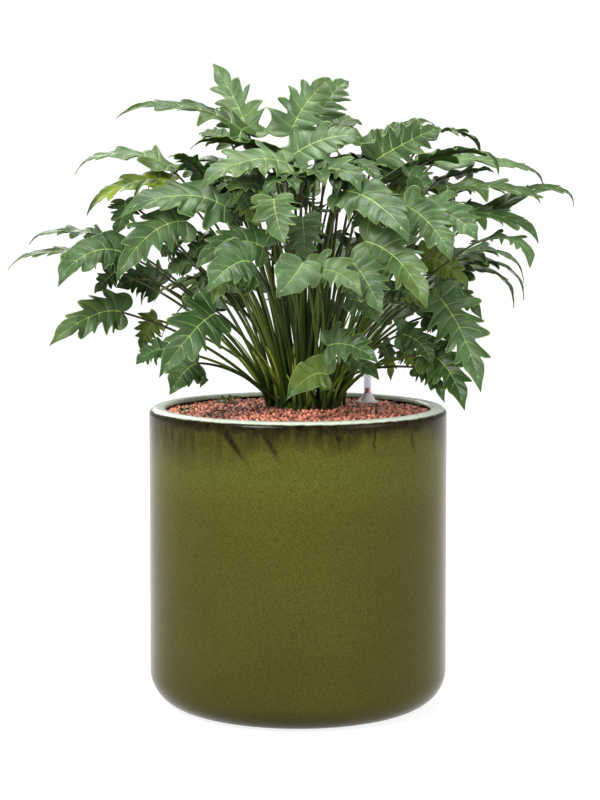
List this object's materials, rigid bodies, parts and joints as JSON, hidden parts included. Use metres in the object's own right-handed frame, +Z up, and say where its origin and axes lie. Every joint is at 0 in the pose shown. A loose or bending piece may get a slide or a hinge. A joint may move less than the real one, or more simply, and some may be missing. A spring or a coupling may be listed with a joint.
{
  "type": "potted philodendron xanadu",
  "caption": "Philodendron xanadu with deeply lobed leaves on long stalks, standing in clay granules in a glazed cylinder pot with a water level gauge.",
  "frame": {"origin": "middle of the pot's foot, on the floor", "axes": "+Z up along the pot's axis, -Y towards the front of the picture's view"},
  "size_m": [0.6362, 0.4523, 0.7125],
  "materials": {
    "olive_glaze": "gloss",
    "clay_granules": "matt",
    "leaf_green": "satin",
    "gauge_clear": "gloss",
    "gauge_red": "satin"
  },
  "bodies": {
    "root": {"pot": "olive_glaze", "clay_granules": "clay_granules", "gauge_tube": "gauge_clear", "gauge_float": "gauge_red", "shoot_middle": "leaf_green", "shoot_inner_1": "leaf_green", "shoot_inner_2": "leaf_green", "shoot_inner_3": "leaf_green", "shoot_inner_4": "leaf_green", "shoot_inner_5": "leaf_green", "shoot_inner_6": "leaf_green", "shoot_outer_1": "leaf_green", "shoot_outer_2": "leaf_green", "shoot_outer_3": "leaf_green", "shoot_outer_4": "leaf_green", "shoot_outer_5": "leaf_green", "shoot_outer_6": "leaf_green", "shoot_outer_7": "leaf_green", "shoot_outer_8": "leaf_green", "shoot_outer_9": "leaf_green", "shoot_outer_10": "leaf_green"}
  },
  "joints": []
}
